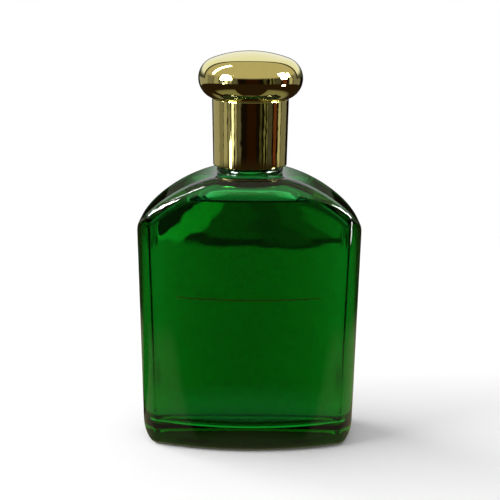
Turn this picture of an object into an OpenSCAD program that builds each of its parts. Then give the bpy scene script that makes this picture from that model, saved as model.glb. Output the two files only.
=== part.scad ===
// Aftershave bottle: a pressed glass flask with a screw cap under a mushroom knob.
// Origin: centre of the base, on the surface that the bottle stands on.
// +X across the wide face, +Y towards the back, +Z up the neck.

/* [Flask outline] */
// Width across the shoulders
body_w = 70; // [60:1:90]
// Width at the foot, a little less than across the shoulders
base_w = 68; // [58:1:88]
// Height of the flat land that carries the neck
body_h = 86.5; // [75:0.5:120]
// Radius of the arc over the shoulders
shoulder_r = 44; // [40:1:60]
// How much of that arc the land takes off
shoulder_cut = 1.4; // [1:0.1:3]
// Radius where the shoulder turns into the side
corner_r = 10; // [9.5:0.5:16]
// Radius where the side turns under the foot
heel_r = 6; // [3:0.5:8]

/* [Flask section] */
// Depth at the middle of the wide faces
body_d = 34; // [30:1:44]
// Radius of the bowed front and back faces
face_r = 90; // [70:5:160]
// Radius of the rounded sides
side_r = 18; // [16:1:30]
// Radius where the shoulder rolls over into the wide faces
brow_r = 8; // [5:0.5:9]
// Radius along the foot of the wide faces
foot_r = 3; // [1:0.5:4]

/* [Glass] */
// Thickness of the walls
wall = 3.2; // [2.4:0.2:4]
// Thickness of the base
base_t = 6.5; // [4:0.5:10]
// Thickness of the glass under the land
land_t = 3; // [2.4:0.2:4]
// Radius round the inner floor
floor_r = 4; // [2:0.5:5]
// Depth of the push-up under the base
push_up = 0.8; // [0.4:0.1:1.5]
// Width of the ring that the bottle stands on
standing_w = 3; // [2:0.5:5]
// Height of the liquid above the surface that the bottle stands on
fill_z = 79; // [40:1:81]

/* [Neck] */
// Radius of the neck between the threads
neck_r = 7.9; // [7:0.1:9.5]
// How far the threads stand out from the neck
thread_h = 1.05; // [0.6:0.05:1.7]
// Bore of the neck
bore_r = 4.8; // [4.2:0.1:5.5]
// Height of the neck above the land
neck_h = 15.1; // [14:0.5:20]
// How far the bead at the root of the neck stands out from it
bead_out = 2.3; // [1.2:0.1:2.6]
// Height of that bead
bead_h = 1.9; // [1.5:0.1:2.5]
// How far the ring under the threads stands out from the neck
ring_out = 0.85; // [0.7:0.05:1]
// Height of that ring
ring_h = 1.4; // [1:0.1:2]
// Gap between the bead and that ring
ring_rise = 1.6; // [1:0.1:2.5]
// Rounding of the lip
lip_r = 0.8; // [0.4:0.1:1.2]

/* [Orifice reducer] */
// Radius of the pouring hole
orifice_r = 1.6; // [0.8:0.1:2]
// How far the flange on the lip stays inside the outside of the neck
flange_in = 0.7; // [0.3:0.1:1.3]
// Thickness of that flange
flange_t = 0.8; // [0.6:0.1:1.2]
// Length of the plug below the lip
plug_h = 9; // [7:0.5:12]
// Wall of the plug
plug_wall = 0.9; // [0.7:0.1:1.1]
// Depth of the dish round the pouring hole
dish_h = 1.8; // [1.2:0.1:2.5]
// How far the nozzle in that dish stays below the flange
nozzle_dip = 0.3; // [0.1:0.1:0.9]
// Number of sealing rings round the plug
seal_rings = 3; // [1:1:5]

/* [Closure] */
// Wall of the threaded closure
closure_wall = 1.25; // [1.1:0.05:1.6]
// Thickness of its top
closure_top_t = 1.2; // [1:0.1:2]
// Thickness of the sealing disc
disc_t = 1; // [0.8:0.1:1.5]
// Gap between the bead and the foot of the closure
closure_gap = 0.6; // [0.3:0.1:1]
// Number of ribs on the outside of the closure
rib_count = 24; // [12:2:36]
// Height of those ribs
rib_h = 0.3; // [0.2:0.05:0.4]
// Width of those ribs
rib_w = 0.6; // [0.4:0.1:1]

/* [Cap] */
// Wall of the sleeve at the top
sleeve_top_wall = 1.2; // [1:0.05:2]
// Wall of the sleeve at the foot
sleeve_foot_wall = 0.85; // [0.8:0.05:1.6]
// Gap between the bead and the foot of the sleeve
sleeve_gap = 0.2; // [0.1:0.1:0.5]
// Rounding at the foot of the sleeve
sleeve_edge_r = 0.7; // [0.3:0.1:0.8]
// Thickness of the web inside the sleeve
web_t = 1.5; // [1:0.1:2]
// Depth of the socket over the web that takes the plug of the head
socket_h = 2.6; // [1.5:0.1:6]
// Radius of the hole in the web and of the hollow in the head
core_r = 6; // [4:0.5:6.5]
// Radius of the head
head_r = 15.8; // [14:0.1:18]
// Radius of the head's rim
rim_r = 6.4; // [5.5:0.1:7]
// How much the crown rises over that rim
crown_h = 1.7; // [0.8:0.1:3]
// How far the foot of the head stays inside the edge of the sleeve
seat_in = 0.2; // [0.1:0.1:0.5]
// Thickness of the head over its hollow
head_top_t = 5; // [3:0.5:7]

/* [Fits] */
// Radial clearance between two pieces that are pressed or glued together
fit = 0.05; // [0.02:0.01:0.08]
// Clearance between a seal and what it closes
seal_gap = 0.05; // [0.02:0.01:0.1]
// Radial clearance between the closure and the threads
thread_gap = 0.2; // [0.15:0.05:0.4]
// Radial clearance of the plug in the bore, which its ribs take up
plug_fit = 0.2; // [0.15:0.05:0.35]
// Radial clearance of the sealing disc in the closure
disc_fit = 0.25; // [0.2:0.05:0.4]
// Smallest gap between the liquid and the glass
liquid_gap = 0.05; // [0.02:0.01:0.1]

/* [Hidden] */
$fn = 128;
// A cut runs this far past the face that it opens
past = 1;
// Two surfaces that would only touch cross by this much, so that their edge is clean
lap = 0.1;
// The roll of the shoulder crosses the faces and the shoulder arc at a steeper angle
face_lap = 0.3;
arc_lap = 0.2;

// Outline of the flask in the XZ plane
half_w = body_w / 2;
half_base = base_w / 2;
half_d = body_d / 2;
shoulder_z = body_h + shoulder_cut - shoulder_r;
corner_x = half_w + lap - corner_r;
corner_z = shoulder_z + sqrt(pow(shoulder_r - corner_r, 2) - pow(corner_x, 2));
corner_a = atan(corner_x / (corner_z - shoulder_z));
side_lean = atan((half_w - half_base) / corner_z);
// Turning radius and place of the roll from the shoulder into the faces
brow_x = shoulder_r - brow_r + arc_lap;
brow_y = half_d - brow_r + face_lap;
// Room round the flask for the shapes that trim it
room = body_w + body_h;

// Neck and what stands on it
neck_top = body_h + neck_h;
thread_r = neck_r + thread_h;
bead_r = neck_r + bead_out;
bead_top = body_h + bead_h;
ring_r = neck_r + ring_out;
ring_z = bead_top + ring_rise;
reducer_top = neck_top + flange_t;
disc_z = reducer_top + seal_gap;
ceiling_z = disc_z + disc_t + seal_gap;
closure_bore_r = thread_r + thread_gap;
closure_r = closure_bore_r + closure_wall;
closure_z = bead_top + closure_gap;
closure_top = ceiling_z + closure_top_t;
sleeve_bore_r = closure_r + fit;
sleeve_foot_r = sleeve_bore_r + sleeve_foot_wall;
sleeve_top_r = sleeve_bore_r + sleeve_top_wall;
sleeve_z = bead_top + sleeve_gap;
web_z = closure_top + fit;
sleeve_top = web_z + web_t + socket_h;
head_z = sleeve_top + fit;
flange_r = neck_r - flange_in;
plug_r = bore_r - plug_fit;
plug_z = neck_top - plug_h;
dish_z = reducer_top - dish_h;
nozzle_r = orifice_r + plug_wall;
nozzle_top = reducer_top - nozzle_dip;

// Rim and crown of the head are two arcs that run into each other
rim_x = head_r - rim_r;
seat_r = sleeve_top_r - seat_in;
rim_z = head_z + sqrt(pow(rim_r, 2) - pow(seat_r - rim_x, 2));
rim_rise = rim_r + crown_h;
head_top = rim_z + rim_rise;
crown_r = (pow(rim_x, 2) + pow(rim_rise, 2) - pow(rim_r, 2)) / (2 * (rim_rise - rim_r));
crown_z = head_top - crown_r;

// ---------- profiles ----------

// A rectangle from the axis out to r, between z0 and z1, with its lower outer corner rounded
module round_foot_2d(r, z0, z1, edge) {
    difference() {
        translate([0, z0])
            square([r, z1 - z0]);
        difference() {
            translate([r - edge, z0 - past])
                square([edge + past, edge + past]);
            translate([r - edge, z0 + edge])
                circle(edge);
        }
    }
}

// A bead of height h and outer radius r on a stem, its foot at z
module bead_2d(stem_r, r, z, h) {
    translate([r - h / 2, z + h / 2])
        circle(h / 2);
    translate([stem_r - lap, z])
        square([r - h / 2 - stem_r + lap, h]);
}

// Section across the shoulder, from its turning axis out, with both edges rolled over
module brow_2d(t) {
    half = brow_y + brow_r - t;
    for (side = [-1, 1])
        translate([brow_x, side * brow_y])
            circle(brow_r - t);
    translate([0, -half])
        square([brow_x, 2 * half]);
    translate([0, -brow_y])
        square([brow_x + brow_r - t, 2 * brow_y]);
}

// Outline of the flask: shoulder arc, the corners that it runs into, and the heels.
// Between them it is wide open, where the sides trim it.
module outline_2d(t, floor_z, r) {
    heel_z = floor_z + r;
    heel_x = half_base + heel_z * tan(side_lean) - t / cos(side_lean) + lap - r;
    reach = 2 * shoulder_r;
    intersection() {
        translate([0, shoulder_z])
            circle(shoulder_r - t);
        polygon([
            [0, shoulder_z],
            [reach * sin(corner_a), shoulder_z + reach * cos(corner_a)],
            [0, shoulder_z + 2 * reach],
            [-reach * sin(corner_a), shoulder_z + reach * cos(corner_a)]
        ]);
    }
    translate([-body_w, heel_z])
        square([2 * body_w, corner_z - heel_z]);
    translate([-heel_x, floor_z])
        square([2 * heel_x, 2 * r]);
    for (side = [-1, 1]) {
        translate([side * corner_x, corner_z])
            circle(corner_r - t);
        translate([side * heel_x, heel_z])
            circle(r);
    }
}

// Plan of one rounded side, with the surface at x = -t and everything behind it kept
module side_2d(t) {
    translate([-side_r, 0])
        circle(side_r - t);
    translate([-side_r - room, -room])
        square([room, 2 * room]);
}

// ---------- the flask's solid, inset by t from the outer surface ----------

// The outline, taken through from front to back
module outline(t, floor_z, r) {
    translate([0, body_d, 0])
        rotate([90, 0, 0])
            linear_extrude(2 * body_d)
                outline_2d(t, floor_z, r);
}

// The shoulder's section turned half round an axis along Y, over a block for the rest
module brow(t) {
    block_top = shoulder_z + past;
    translate([0, 0, shoulder_z])
        rotate([90, 0, 0])
            rotate_extrude(angle = 180)
                brow_2d(t);
    translate([-body_w, -body_d, -body_h])
        cube([2 * body_w, 2 * body_d, block_top + body_h]);
}

// Both rounded sides, which lean in towards the foot
module sides(t) {
    intersection_for (side = [0, 1])
        mirror([side, 0, 0])
            translate([half_w, 0, corner_z])
                rotate([0, side_lean, 0])
                    translate([0, 0, -room])
                        linear_extrude(2 * room)
                            side_2d(t);
}

// Both bowed faces, rounded under at the foot
module faces(t, floor_z, edge) {
    intersection_for (side = [0, 1])
        mirror([0, side, 0])
            translate([0, face_r - half_d, 0])
                rotate_extrude()
                    round_foot_2d(face_r - t, floor_z, room, edge);
}

// The whole form: t inset, from floor_z to top_z, with side and face radii at the floor
module flask(t, floor_z, top_z, side_edge, face_edge) {
    intersection() {
        outline(t, floor_z, side_edge);
        brow(t);
        sides(t);
        faces(t, floor_z, face_edge);
        translate([-body_w, -body_d, -body_h])
            cube([2 * body_w, 2 * body_d, body_h + top_z]);
    }
}

// ---------- pieces ----------

// Shallow hollow under the base, which leaves a ring to stand on
module push_up_cut() {
    inset = heel_r + standing_w;
    intersection() {
        sides(inset);
        faces(inset, -past, past / 2);
        translate([-room, -room, -past])
            cube([2 * room, 2 * room, push_up + past]);
    }
}

// Neck finish: bead, ring under the threads, and the land for the threads up to the lip
module neck() {
    rotate_extrude() {
        difference() {
            translate([0, body_h - land_t / 2])
                square([neck_r, neck_h + land_t / 2]);
            difference() {
                translate([neck_r - lip_r, neck_top - lip_r])
                    square([lip_r + past, lip_r + past]);
                translate([neck_r - lip_r, neck_top - lip_r])
                    circle(lip_r);
            }
        }
        bead_2d(neck_r, bead_r, body_h - lap, bead_h + lap);
        bead_2d(neck_r, ring_r, ring_z, ring_h);
    }
}

module glass_bottle() {
    color([0.08, 0.45, 0.25, 0.6])
        difference() {
            union() {
                flask(0, 0, body_h, heel_r, foot_r);
                neck();
            }
            flask(wall, base_t, body_h - land_t, floor_r, floor_r);
            push_up_cut();
            translate([0, 0, body_h - land_t - past])
                cylinder(r = bore_r, h = land_t + neck_h + 2 * past);
        }
}

module aftershave() {
    color([0.02, 0.35, 0.05, 0.8])
        flask(wall + liquid_gap, base_t + liquid_gap, fill_z, floor_r, floor_r);
}

// Plug with a flange on the lip, a dish, and a nozzle in the middle of the dish
module orifice_reducer() {
    color([0.93, 0.94, 0.9])
        rotate_extrude()
            difference() {
                union() {
                    translate([0, neck_top])
                        square([flange_r, flange_t]);
                    translate([0, plug_z])
                        square([plug_r, plug_h + lap]);
                    for (ring = [1:seal_rings])
                        bead_2d(plug_r - plug_wall / 2, bore_r - fit,
                            plug_z + ring * plug_h / (seal_rings + 1), plug_wall);
                }
                translate([0, plug_z - past])
                    square([plug_r - plug_wall, plug_h + flange_t - dish_h - plug_wall + past]);
                translate([nozzle_r, dish_z])
                    square([plug_r - plug_wall - nozzle_r, dish_h + past]);
                translate([0, nozzle_top])
                    square([plug_r - plug_wall, dish_h + past]);
                translate([0, plug_z - past])
                    square([orifice_r, plug_h + dish_h + 2 * past]);
            }
}

module sealing_disc() {
    color([0.95, 0.95, 0.93])
        translate([0, 0, disc_z])
            cylinder(r = closure_bore_r - disc_fit, h = disc_t);
}

// Threaded cup with ribs that key it into the sleeve
module inner_closure() {
    rib_foot = closure_r - rib_h - lap;
    rib_tip = sqrt(pow(closure_r, 2) - pow(rib_w / 2, 2));
    color([0.9, 0.9, 0.88])
        difference() {
            union() {
                translate([0, 0, closure_z])
                    cylinder(r = closure_r - rib_h, h = closure_top - closure_z);
                for (turn = [0:rib_count - 1])
                    rotate([0, 0, turn * 360 / rib_count])
                        translate([rib_foot, -rib_w / 2, closure_z])
                            cube([rib_tip - rib_foot, rib_w, closure_top - closure_z]);
            }
            translate([0, 0, closure_z - past])
                cylinder(r = closure_bore_r, h = ceiling_z - closure_z + past);
        }
}

// Metallised sleeve, with a web that the closure bears on from below and the head from above
module cap_sleeve() {
    flare = (sleeve_top_r - sleeve_foot_r) / (sleeve_top - sleeve_z);
    edge_x = sleeve_foot_r + sleeve_edge_r * flare - sleeve_edge_r;
    color([0.8, 0.7, 0.3])
        rotate_extrude() {
            difference() {
                polygon([
                    [sleeve_bore_r, sleeve_z], [sleeve_foot_r, sleeve_z],
                    [sleeve_top_r, sleeve_top], [sleeve_bore_r, sleeve_top]
                ]);
                difference() {
                    translate([edge_x, sleeve_z - past])
                        square([sleeve_edge_r + past, sleeve_edge_r + past]);
                    translate([edge_x, sleeve_z + sleeve_edge_r])
                        circle(sleeve_edge_r);
                }
            }
            translate([core_r, web_z])
                square([sleeve_bore_r + lap - core_r, web_t]);
        }
}

// Mushroom head: a domed crown that runs into a round rim, with a plug that fills the sleeve
module cap_head() {
    plug_foot = web_z + web_t + fit;
    fan = 2 * crown_r;
    fan_a = atan(rim_x / (rim_z - crown_z));
    color([0.85, 0.76, 0.35])
        rotate_extrude()
            difference() {
                intersection() {
                    union() {
                        translate([rim_x, rim_z])
                            circle(rim_r);
                        intersection() {
                            translate([0, crown_z])
                                circle(crown_r);
                            polygon([
                                [0, crown_z], [fan * sin(fan_a), crown_z + fan * cos(fan_a)],
                                [0, crown_z + fan]
                            ]);
                        }
                        translate([0, plug_foot])
                            square([rim_x, rim_z - plug_foot]);
                        translate([0, plug_foot])
                            square([sleeve_bore_r - fit, head_z - plug_foot + lap]);
                    }
                    union() {
                        translate([0, head_z])
                            square([room, room]);
                        translate([0, plug_foot])
                            square([sleeve_bore_r - fit, head_z - plug_foot + lap]);
                    }
                }
                translate([0, plug_foot - past])
                    square([core_r, head_top - head_top_t - plug_foot + past]);
            }
}

glass_bottle();
aftershave();
orifice_reducer();
sealing_disc();
inner_closure();
cap_sleeve();
cap_head();
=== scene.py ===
import logging
import math
from dataclasses import dataclass, field
from enum import Enum
from typing import Callable, Sequence

import bpy
import numpy as np
from mathutils import Matrix, Vector


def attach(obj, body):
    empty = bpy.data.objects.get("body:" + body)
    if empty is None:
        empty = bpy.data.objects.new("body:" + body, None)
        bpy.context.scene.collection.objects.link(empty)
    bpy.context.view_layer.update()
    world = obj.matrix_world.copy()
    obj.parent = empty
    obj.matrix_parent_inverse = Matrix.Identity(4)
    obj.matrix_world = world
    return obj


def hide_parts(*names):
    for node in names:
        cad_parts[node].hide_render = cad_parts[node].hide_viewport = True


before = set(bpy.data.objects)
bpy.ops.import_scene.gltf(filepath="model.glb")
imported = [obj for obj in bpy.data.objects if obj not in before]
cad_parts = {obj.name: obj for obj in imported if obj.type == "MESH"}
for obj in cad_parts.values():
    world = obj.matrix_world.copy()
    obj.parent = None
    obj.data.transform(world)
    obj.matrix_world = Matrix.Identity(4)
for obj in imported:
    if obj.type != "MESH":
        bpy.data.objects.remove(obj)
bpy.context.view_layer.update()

log = logging.getLogger("aftershave_bottle")

MM = 0.001  # the sizes below are in millimetres, the meshes in metres
TURN = 2 * math.pi
COLUMNS = 216  # points round the flask, the neck and what turns with the cap
THREAD_PITCH = 3.175
BEND_STEP = math.radians(8)  # turn that counts as much as one span of length when points are spaced out
WHITE = "#FFFFFF"
GRAIN_RANGE = {"From Min": 0.3, "From Max": 0.7}  # what a mottling's value mostly keeps to

Share = bpy.types.Node | bpy.types.NodeSocket  # how much of something shows, from 0 to 1
Shade = bpy.types.NodeSocket | tuple[float, float, float, float]  # a colour, worked out or plain


class Body(Enum):
    """The bodies of the frame that a piece can ride on."""

    BOTTLE = "bottle"
    SEAL = "seal"
    CAP = "cap"


class Slot(Enum):
    """The record's material slots."""

    GLASS = "green_glass"
    LIQUID = "green_liquid"
    POLYETHYLENE = "natural_polyethylene"
    FOAM = "white_foam_liner"
    POLYPROPYLENE = "natural_polypropylene"
    GOLD = "gold_plating"


# ---------- node and colour helpers ----------


def linear(code: str) -> tuple[float, float, float, float]:
    """Turns an sRGB hex value into the linear colour that a shader socket holds.

    Args:
        code: six hex digits, with or without a leading #.

    Returns:
        Red, green, blue and an alpha of 1.
    """
    parts = [int(code.lstrip("#")[i:i + 2], 16) / 255 for i in (0, 2, 4)]
    low = [c / 12.92 if c <= 0.04045 else ((c + 0.055) / 1.055) ** 2.4 for c in parts]
    return low[0], low[1], low[2], 1.0


def add(tree: bpy.types.NodeTree, kind: str, links: dict | None = None, **settings) -> bpy.types.Node:
    """Adds one node, sets it up and wires it.

    Args:
        tree: the node tree that gets the node.
        kind: the node's type name.
        links: input name or number, to an output socket, a node (its first output) or a value.
        **settings: properties of the node.

    Returns:
        The new node.
    """
    node = tree.nodes.new(kind)
    for key, value in settings.items():
        setattr(node, key, value)
    for key, value in (links or {}).items():
        socket = node.inputs[key]
        if isinstance(value, bpy.types.Node):
            value = value.outputs[0]
        if isinstance(value, bpy.types.NodeSocket):
            tree.links.new(value, socket)
        else:
            socket.default_value = value
    return node


def new_material(name: str) -> tuple[bpy.types.Material, bpy.types.NodeTree]:
    """Makes an empty node material.

    Args:
        name: the material's name.

    Returns:
        The material and its cleared node tree.
    """
    material = bpy.data.materials.new(name)
    material.use_nodes = True
    material.node_tree.nodes.clear()
    return material, material.node_tree


def mottle(tree: bpy.types.NodeTree, size_mm: float, detail: float = 3.0,
          stretch: tuple[float, float, float] = (1.0, 1.0, 1.0)) -> bpy.types.NodeSocket:
    """Mottling on object coordinates with a grain of a real size.

    Args:
        tree: the material's tree.
        size_mm: width of one grain.
        detail: octaves of finer grain on top.
        stretch: how much coarser the grain is along each axis.

    Returns:
        The mottling's value.
    """
    where = add(tree, "ShaderNodeTexCoord")
    placed = add(tree, "ShaderNodeMapping",
                 {"Vector": where.outputs["Object"], "Scale": tuple(1 / s for s in stretch)})
    grain = add(tree, "ShaderNodeTexNoise",
                {"Vector": placed, "Scale": 1 / (size_mm * MM), "Detail": detail})
    return grain.outputs["Fac"]


def layered(tree: bpy.types.NodeTree, base: Shade, layers: Sequence[tuple[Share, Shade]]) -> bpy.types.NodeSocket:
    """Lays colours over a base, one after another.

    Args:
        tree: the node tree.
        base: the colour at the bottom.
        layers: for each colour, how much of it shows, and the colour.

    Returns:
        The colour that comes out on top.
    """
    for share, colour in layers:
        base = add(tree, "ShaderNodeMix", {"Factor": share, 6: base, 7: colour}, data_type="RGBA").outputs[2]
    return base


def finish_with(tree: bpy.types.NodeTree, shader: bpy.types.Node,
                volume: bpy.types.Node | None = None) -> None:
    """Ends a material's tree in its output.

    Args:
        tree: the material's tree.
        shader: the surface shader.
        volume: the volume shader, if it has one.
    """
    links = {"Surface": shader}
    if volume:
        links["Volume"] = volume
    add(tree, "ShaderNodeOutputMaterial", links)


# ---------- finishes ----------


@dataclass(frozen=True)
class ClearBody:
    """Something clear that light goes through: glass or liquid.

    Attributes:
        name: what it is and how it was made.
        ior: index of refraction.
        absorb: hex colour that is left of white light.
        density: how fast it is left, per metre.
        roughness_low: roughness of the clean parts.
        roughness_high: roughness of the handled parts.
        wave_mm: distance from one slow ripple to the next.
        wave_depth_mm: height of those ripples, or 0 for a surface with no marks of its own.
    """

    name: str
    ior: float
    absorb: str
    density: float
    roughness_low: float
    roughness_high: float
    wave_mm: float
    wave_depth_mm: float

    def make(self) -> bpy.types.Material:
        """Builds the material.

        Returns:
            The clear material.
        """
        material, tree = new_material(self.name)
        touch = mottle(tree, self.wave_mm / 3, 4.0)
        sockets = {"Base Color": layered(tree, linear("#F7FFF9"), [(touch, linear(WHITE))]),
                   "Roughness": self.roughness_low, "IOR": self.ior, "Specular IOR Level": 0.35,
                   "Transmission Weight": 1.0}
        if self.wave_depth_mm:
            sockets["Roughness"] = add(tree, "ShaderNodeMapRange", {
                "Value": touch, **GRAIN_RANGE, "To Min": self.roughness_low, "To Max": self.roughness_high})
            sockets["Normal"] = add(tree, "ShaderNodeBump", {
                "Height": mottle(tree, self.wave_mm, 1.0), "Distance": self.wave_depth_mm * MM})
        shader = add(tree, "ShaderNodeBsdfPrincipled", sockets)
        volume = add(tree, "ShaderNodeVolumeAbsorption",
                     {"Color": linear(self.absorb), "Density": self.density})
        finish_with(tree, shader, volume)
        return material


@dataclass(frozen=True)
class MouldedPlastic:
    """An injection-moulded plastic.

    Attributes:
        name: what it is and how it was made.
        dark: hex colour of its deeper tone.
        light: hex colour of its paler tone.
        roughness: its roughness.
        subsurface: how much light wanders inside it.
        grain_mm: grain of the mould's surface.
        grain_depth_mm: depth of that grain.
    """

    name: str
    dark: str
    light: str
    roughness: float
    subsurface: float
    grain_mm: float
    grain_depth_mm: float

    def make(self) -> bpy.types.Material:
        """Builds the material.

        Returns:
            The plastic material.
        """
        material, tree = new_material(self.name)
        cloud = mottle(tree, 6.0, 2.0)
        grain = mottle(tree, self.grain_mm, 2.0)
        wear = add(tree, "ShaderNodeMapRange", {
            "Value": grain, **GRAIN_RANGE, "To Min": self.roughness - 0.05, "To Max": self.roughness + 0.05})
        relief = add(tree, "ShaderNodeBump", {"Height": grain, "Distance": self.grain_depth_mm * MM})
        shader = add(tree, "ShaderNodeBsdfPrincipled", {
            "Base Color": layered(tree, linear(self.dark), [(cloud, linear(self.light))]), "Roughness": wear,
            "IOR": 1.5, "Subsurface Weight": self.subsurface, "Subsurface Scale": 1.5 * MM, "Normal": relief})
        finish_with(tree, shader)
        return material


@dataclass(frozen=True)
class GoldSkin:
    """A mirror-bright gold skin over plastic.

    Attributes:
        name: what it is and how it was made.
        dark: hex colour of its deeper tone.
        light: hex colour of its paler tone.
        roughness_low: roughness of the untouched parts.
        roughness_high: roughness of the handled parts.
        draw_mm: length of the moulding's slow waves.
        draw_depth_mm: height of those waves.
    """

    name: str
    dark: str
    light: str
    roughness_low: float
    roughness_high: float
    draw_mm: float
    draw_depth_mm: float

    def make(self) -> bpy.types.Material:
        """Builds the material.

        Returns:
            The gold material.
        """
        material, tree = new_material(self.name)
        wave = mottle(tree, self.draw_mm, 1.0, (1.0, 1.0, 4.0))
        smear = mottle(tree, 2.5, 5.0)
        wear = add(tree, "ShaderNodeMapRange", {
            "Value": smear, **GRAIN_RANGE, "To Min": self.roughness_low, "To Max": self.roughness_high})
        relief = add(tree, "ShaderNodeBump", {"Height": wave, "Distance": self.draw_depth_mm * MM})
        shader = add(tree, "ShaderNodeBsdfPrincipled", {
            "Base Color": layered(tree, linear(self.dark), [(smear, linear(self.light))]), "Metallic": 1.0,
            "Roughness": wear, "Coat Weight": 0.3, "Coat Roughness": 0.03, "Coat IOR": 1.5, "Normal": relief})
        finish_with(tree, shader)
        return material


@dataclass(frozen=True)
class FoamLiner:
    """Fine closed-cell foam, skinned on both sides."""

    name: str = "Expanded polyethylene foam liner"
    dark: str = "#D9D9D2"
    light: str = "#F1F1EC"
    cell_mm: float = 0.35
    cell_depth_mm: float = 0.05

    def make(self) -> bpy.types.Material:
        """Builds the material.

        Returns:
            The foam material.
        """
        material, tree = new_material(self.name)
        where = add(tree, "ShaderNodeTexCoord")
        cells = add(tree, "ShaderNodeTexVoronoi",
                    {"Vector": where.outputs["Object"], "Scale": 1 / (self.cell_mm * MM)})
        cell = cells.outputs["Distance"]
        relief = add(tree, "ShaderNodeBump", {"Height": cell, "Distance": self.cell_depth_mm * MM})
        shader = add(tree, "ShaderNodeBsdfPrincipled", {
            "Base Color": layered(tree, linear(self.dark), [(cell, linear(self.light))]),
            "Roughness": 0.6, "IOR": 1.5, "Normal": relief})
        finish_with(tree, shader)
        return material


# Pressed soda-lime glass, coloured in the melt: smooth and bright, with a slow ripple from the mould
# that bends what is behind it, and deep green wherever the light goes a long way through it.
GREEN_GLASS = ClearBody("Green soda-lime glass, pressed and fire-polished", 1.52, "#53E7AA", 500.0,
                        0.0, 0.02, 9.0, 0.02)
# Dyed aftershave, alcohol and water: no surface marks of its own, and a purer green than the glass.
GREEN_LIQUID = ClearBody("Green dyed aftershave, alcohol and water", 1.36, "#56D279", 190.0,
                         0.0, 0.0, 14.0, 0.0)
# Gold under clear lacquer on moulded ABS: a mirror with faint draw waves and a few smears.
GOLD = GoldSkin("Gold metallised ABS, lacquered", "#DDD58A", "#E6DF98", 0.02, 0.06, 5.0, 0.012)
# Gold foil stamped on the glass: bright, but thin and slightly uneven.
GOLD_FOIL = GoldSkin("Gold foil, hot stamped on glass", "#A8904A", "#D8C47E", 0.12, 0.25, 0.6, 0.01)
# Soft low-density polyethylene, as moulded: milky and a little waxy.
POLYETHYLENE = MouldedPlastic("Natural low-density polyethylene, moulded", "#E4E6DE", "#F2F3EC", 0.45, 0.3, 0.3, 0.01)
# Homopolymer polypropylene, as moulded: whiter and glossier, with the mould's fine grain.
POLYPROPYLENE = MouldedPlastic("Natural polypropylene, moulded", "#DEDFD8", "#EEEFE9", 0.32, 0.15, 0.25, 0.006)


# ---------- mesh helpers ----------


def rings_mesh(name: str, rings: np.ndarray, poles: tuple[Vector | None, Vector | None],
               ring_closes: bool, inward_first: bool = False) -> bpy.types.Object:
    """Skins a stack of closed rings.

    Args:
        name: the object's name.
        rings: points in millimetres, as rings by columns by 3.
        poles: the point that closes the first and the last end, or None.
        ring_closes: whether the last ring joins the first, as on a hollow ring.
        inward_first: whether the stack runs the other way, so that the faces are turned.

    Returns:
        The smooth-shaded mesh object, at the origin.
    """
    count, cols = rings.shape[:2]
    points = [tuple(p) for p in (rings.reshape(-1, 3) * MM).tolist()]
    faces: list[tuple[int, ...]] = []
    for i in range(count if ring_closes else count - 1):
        a, b = i * cols, ((i + 1) % count) * cols
        faces += [(a + j, b + j, b + (j + 1) % cols, a + (j + 1) % cols) for j in range(cols)]
    for end, pole in enumerate(poles):
        if pole is None:
            continue
        base = 0 if end == 0 else (count - 1) * cols
        points.append(tuple(pole * MM))
        tip = len(points) - 1
        fan = [(tip, base + j, base + (j + 1) % cols) for j in range(cols)]
        faces += fan if end == 0 else [f[::-1] for f in fan]
    if inward_first:
        faces = [f[::-1] for f in faces]
    mesh = bpy.data.meshes.new(name)
    mesh.from_pydata(points, [], faces)
    mesh.shade_smooth()
    mesh.validate()
    obj = bpy.data.objects.new(name, mesh)
    bpy.context.scene.collection.objects.link(obj)
    return obj


def rounded(corners: Sequence[tuple[float, float, float]], closed: bool,
            turn_step: float = 12.0, hold: float = 0.12) -> list[tuple[float, float]]:
    """Rounds the corners of a profile, and holds its straight runs with a point near each end.

    Args:
        corners: radius from the axis, height and rounding of each corner.
        closed: whether the last corner joins the first.
        turn_step: degrees from one point of a rounding to the next.
        hold: distance of the holding points from a rounding.

    Returns:
        The profile's points.
    """
    out: list[tuple[float, float]] = []
    total = len(corners)
    for i, (x, z, r) in enumerate(corners):
        if not closed and i in (0, total - 1):
            out.append((x, z))
            continue
        here = np.array([x, z])
        before = np.array(corners[i - 1][:2]) - here
        after = np.array(corners[(i + 1) % total][:2]) - here
        len_b, len_a = np.linalg.norm(before), np.linalg.norm(after)
        u, v = before / len_b, after / len_a
        half = math.acos(max(-1.0, min(1.0, float(u @ v)))) / 2
        reach = min(r / math.tan(half), 0.45 * len_b, 0.45 * len_a)
        size = reach * math.tan(half)
        out.append(tuple(here + u * (reach + min(hold, 0.04 * len_b))))
        if size > 0:
            centre = here + (u + v) / np.linalg.norm(u + v) * size / math.sin(half)
            start, end = here + u * reach - centre, here + v * reach - centre
            sweep = math.pi - 2 * half
            steps = max(2, math.ceil(math.degrees(sweep) / turn_step))
            for k in range(steps + 1):
                s = k / steps
                way = math.sin((1 - s) * sweep) * start + math.sin(s * sweep) * end
                out.append(tuple(centre + way / math.sin(sweep)))
        else:
            out.append((x, z))
        out.append(tuple(here + v * (reach + min(hold, 0.04 * len_a))))
    return out


def turned(profile: Sequence[tuple[float, float]], columns: int = COLUMNS) -> np.ndarray:
    """Turns a profile round the Z axis.

    Args:
        profile: radius and height of each point.
        columns: points round the axis.

    Returns:
        Rings by columns by 3, in millimetres.
    """
    angle = np.arange(columns) * TURN / columns
    radius = np.array([p[0] for p in profile])[:, None]
    height = np.array([p[1] for p in profile])[:, None]
    return np.stack([radius * np.cos(angle), radius * np.sin(angle), height + 0 * angle], axis=-1)


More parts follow.
